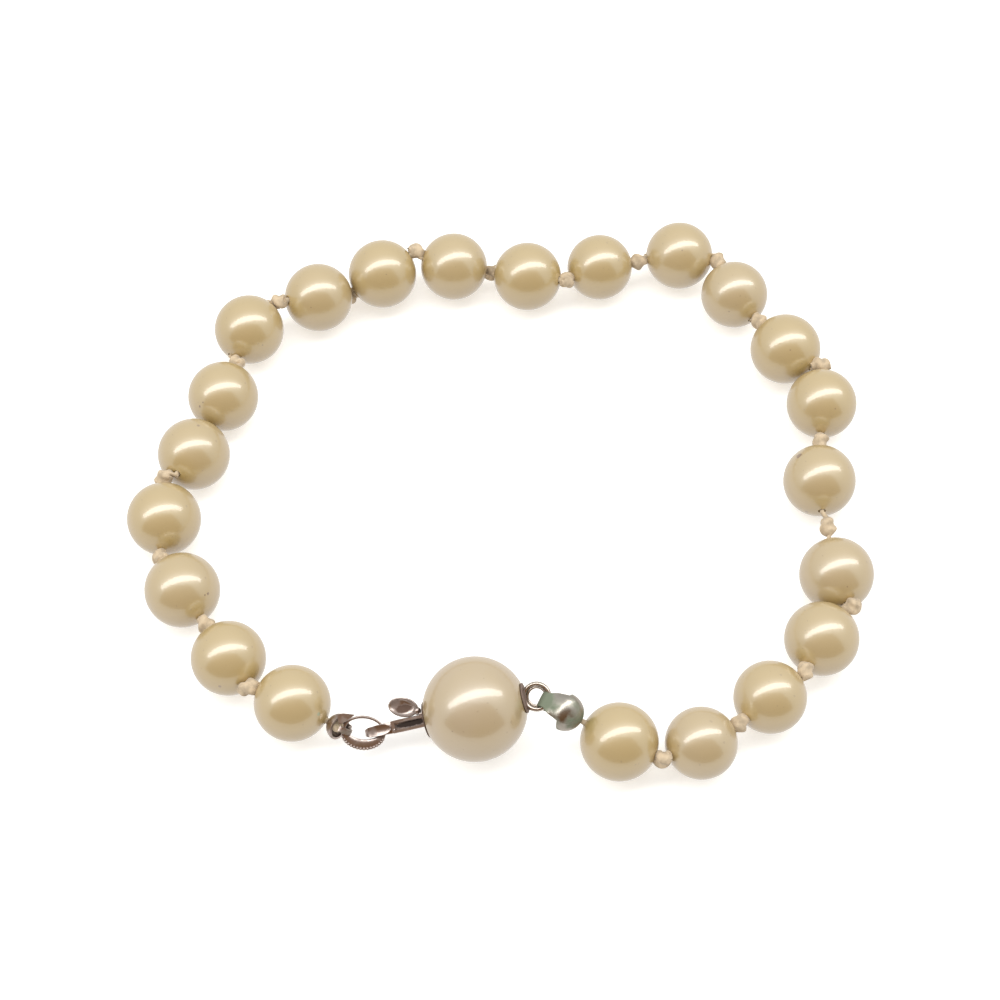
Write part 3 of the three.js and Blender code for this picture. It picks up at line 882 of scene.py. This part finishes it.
def cup_shape(radius):
    """A cup about +X whose mouth slants, so that its +Z side reaches furthest."""
    rim = math.pi - math.asin(TIP_HOLE / radius)
    sides = 56
    rows = 20
    vertices = []
    for side in range(sides):
        around = 2 * math.pi * side / sides
        start = math.atan2(1, math.sin(around) * math.tan(TIP_MOUTH))
        for shell, turned in ((radius, False), (radius - TIP_WALL, True)):
            for row in range(rows + 1):
                share = row / rows
                angle = rim + (start - rim) * share if turned else start + (rim - start) * share
                x = shell * math.cos(angle)
                across = shell * math.sin(angle)
                vertices.append((x, across * math.cos(around), across * math.sin(around)))
    count = 2 * (rows + 1)
    faces = []
    for side in range(sides):
        near = side * count
        far = (side + 1) % sides * count
        for row in range(count):
            following = (row + 1) % count
            faces.append((near + row, near + following, far + following, far + row))
    return vertices, faces


def tip_shape(radius, root, width, curl, reach):
    """A cup and its strap, which is curled over a ring."""
    curled = [(x, y, width) for x, y in arc((reach, 0), curl, 62, -110, 22)]
    leaves_cup = (radius * 0.62, radius * 0.8)
    path = [
        (-radius * 0.45, radius * 0.86, root * 0.75),
        (-radius * 0.1, radius * 0.98, root),
        (radius * 0.3, radius * 0.96, root * 0.97),
        (*leaves_cup, root * 0.88),
        ((leaves_cup[0] + curled[0][0]) / 2, (leaves_cup[1] + curled[0][1]) / 2, (root + width) / 2),
    ]
    strap = strip(smooth_path([*path, curled[0]], 6)[:-1] + curled, TIP_WALL, (0.8 / radius, 0.0))
    return merge(cup_shape(radius), moved(strap, Matrix.Rotation(math.radians(90), 4, "X")))


LEAF_START = (-0.3, -0.62, -0.72)
LEAF_TURN = -42  # degrees


def leaf_shape():
    """The pointed leaf on the rim of the cup by the tongue."""
    rows = [
        (0.0, 0.0, 0.85),
        (0.35, 0.02, 0.84),
        (0.6, 0.0, 0.75),
        (1.05, -0.06, 0.42),
        (1.5, -0.14, 0.05),
    ]
    blade = strip(in_metres(rows), 0.13 * MM)
    place = (
        Matrix.Translation(Vector(LEAF_START) * MM)
        @ Matrix.Rotation(math.radians(LEAF_TURN), 4, "Z")
        @ Matrix.Rotation(math.radians(90), 4, "X")
    )
    return moved(blade, place)


# Bead tips, in mm: cup radius, gap to the pearl, strap width at the cup and at its curl, and the
# radius of the curl. Metal: colour, tarnish, how much of it is covered, and roughness.
TONGUE_TIP = (1.15, 0.15, 1.0, 0.5, 0.67)
EYE_TIP = (1.6, 0.35, 2.5, 1.35, 0.65)
TONGUE_TIP_METAL = (ROSE_SILVER, OLIVE, 0.35, 0.28, TONGUE_TIP_SHADE_AND_TARNISH)
EYE_TIP_METAL = (GREY_SILVER, VERDIGRIS, 0.5, 0.28, EYE_TIP_STAINS)


def add_tip(name, node, pearl, target, face, sizes, metal, slot):
    """A bead tip between a pearl and the target its strap is curled over; returns its knot's place."""
    radius, gap, root, width, curl = (value * MM for value in sizes)
    centre, pearl_radius = pearl
    direction = (target - centre).normalized()
    middle = centre + direction * (pearl_radius + gap + radius)
    shape = tip_shape(radius, root, width, curl, (target - middle).length)
    if sizes == TONGUE_TIP:
        shape = merge(shape, leaf_shape())
    place = frame_at(middle, direction, face)
    material = metal_material(f"{name}_metal", *metal, place)
    add_mesh(name, *shape, material, slot, [node], place)
    return middle - direction * (radius - TIP_WALL - TIP_KNOT_GAP - END_KNOT_RADIUS)


# The stage


def add_floor():
    """A pale floor, lit evenly enough that it takes only faint shadows."""
    size = 3.0
    corners = [(-size, -size, 0), (size, -size, 0), (size, size, 0), (-size, size, 0)]
    material, _, shader = new_material("pale_floor", Roughness=0.6)
    shader.inputs["Base Color"].default_value = (0.93, 0.93, 0.93, 1)
    shader.inputs["Emission Color"].default_value = (1, 1, 1, 1)
    shader.inputs["Emission Strength"].default_value = 0.4
    mesh = bpy.data.meshes.new("floor")
    mesh.from_pydata(corners, [], [(0, 1, 2, 3)])
    mesh.materials.append(material)
    floor = bpy.data.objects.new("floor", mesh)
    bpy.context.collection.objects.link(floor)
    floor.location.z = -0.01 * MM
    floor.visible_glossy = False
    floor.visible_diffuse = False


def add_strip_light():
    """The long lamp over the light tent, a little askew."""
    data = bpy.data.lights.new("tent_lamp", "AREA")
    data.shape = "RECTANGLE"
    data.size = 1.55
    data.size_y = 0.14
    data.energy = 2.6
    data.color = (1.0, 0.99, 0.96)
    lamp = bpy.data.objects.new("tent_lamp", data)
    lamp.location = (0.0, 0.02, 0.42)
    lamp.rotation_euler = (0, 0, math.radians(15))
    bpy.context.collection.objects.link(lamp)


def add_dark_card():
    """The dim, warm room beyond the open front of a light tent: only reflections show it."""
    material, _, shader = new_material("dim_room", Roughness=1.0)
    shader.inputs["Base Color"].default_value = (0.22, 0.115, 0.045, 1)
    mesh = bpy.data.meshes.new("room")
    corners = [(-0.62, -0.35, 0.0), (0.62, -0.35, 0.0), (0.3, -0.13, 0.5), (-0.3, -0.13, 0.5)]
    mesh.from_pydata(corners, [], [(0, 1, 2, 3)])
    mesh.materials.append(material)
    card = bpy.data.objects.new("room", mesh)
    bpy.context.collection.objects.link(card)
    card.visible_camera = False
    card.visible_diffuse = False
    card.visible_shadow = False


def set_world():
    """The walls of the light tent, a little warmer towards the floor."""
    world = bpy.data.worlds.new("light_tent")
    world.use_nodes = True
    tree = world.node_tree
    direction = tree.nodes.new("ShaderNodeTexCoord")
    parts = tree.nodes.new("ShaderNodeSeparateXYZ")
    link(tree, direction, "Generated", parts, "Vector")
    height = tree.nodes.new("ShaderNodeMapRange")
    height.inputs["From Min"].default_value = -1.0
    link(tree, parts, "Z", height, "Value")
    sky = ramp(
        tree,
        height,
        "Result",
        (0.3, (0.92, 0.87, 0.82)),
        (0.5, (0.82, 0.78, 0.71)),
        (0.65, (0.74, 0.73, 0.69)),
        (0.85, (0.78, 0.775, 0.75)),
    )
    link(tree, sky, "Color", tree.nodes["Background"], "Color")
    bpy.context.scene.world = world


def add_camera():
    """58 degrees above the floor."""
    data = bpy.data.cameras.new("camera")
    data.lens = 73.8
    data.sensor_width = 36
    camera = bpy.data.objects.new("camera", data)
    camera.location = (0.15 * MM, -100.1 * MM, 160.2 * MM)
    camera.rotation_euler = (math.radians(32), 0, 0)
    bpy.context.collection.objects.link(camera)
    bpy.context.scene.camera = camera


def build():
    pearls = pearl_places()
    knots = knot_places(pearls)
    axes = clasp_axes()
    back = axes.to_3x3() @ Vector((0, 1, 0))
    front = axes.to_3x3() @ Vector((0, -1, 0.35))
    link_end = link_axes(axes) @ oval(math.pi, (LINK_LENGTH + HOLE_LENGTH) / 2, 0, raised=HOLE_RAISED / 2)
    eye_angle = math.radians(EYE_MEETS_TIP)
    eye_reach = Vector((math.cos(eye_angle), 0, math.sin(eye_angle))) * EYE_RADIUS
    eye_end = axes @ (EYE_CENTRE + eye_reach)
    first = add_tip(
        "tip_by_tongue", "bead_tip_tongue_end", pearls[0], link_end, back,
        TONGUE_TIP, TONGUE_TIP_METAL, "silver",
    )
    last = add_tip(
        "tip_by_eye", "bead_tip_eye_end", pearls[-1], eye_end, front,
        EYE_TIP, EYE_TIP_METAL, "tarnished_metal",
    )
    marks = [first, *[at for at, _ in knots], last]
    directions = []
    for index, (centre, _) in enumerate(pearls):
        before = centre if index == PEARL_COUNT - 1 else marks[index]
        after = centre if index == 0 else marks[index + 1]
        directions.append((after - before).normalized())
    add_pearls(pearls, directions)
    add_silk(pearls, directions, knots, (first, last))
    add_clasp_pearl(axes)
    add_clasp_box(axes)
    add_tongue(axes)
    add_link_ring(axes)


add_camera()
build()
add_floor()
add_dark_card()
add_strip_light()
set_world()
bpy.context.scene.view_settings.view_transform = "Standard"
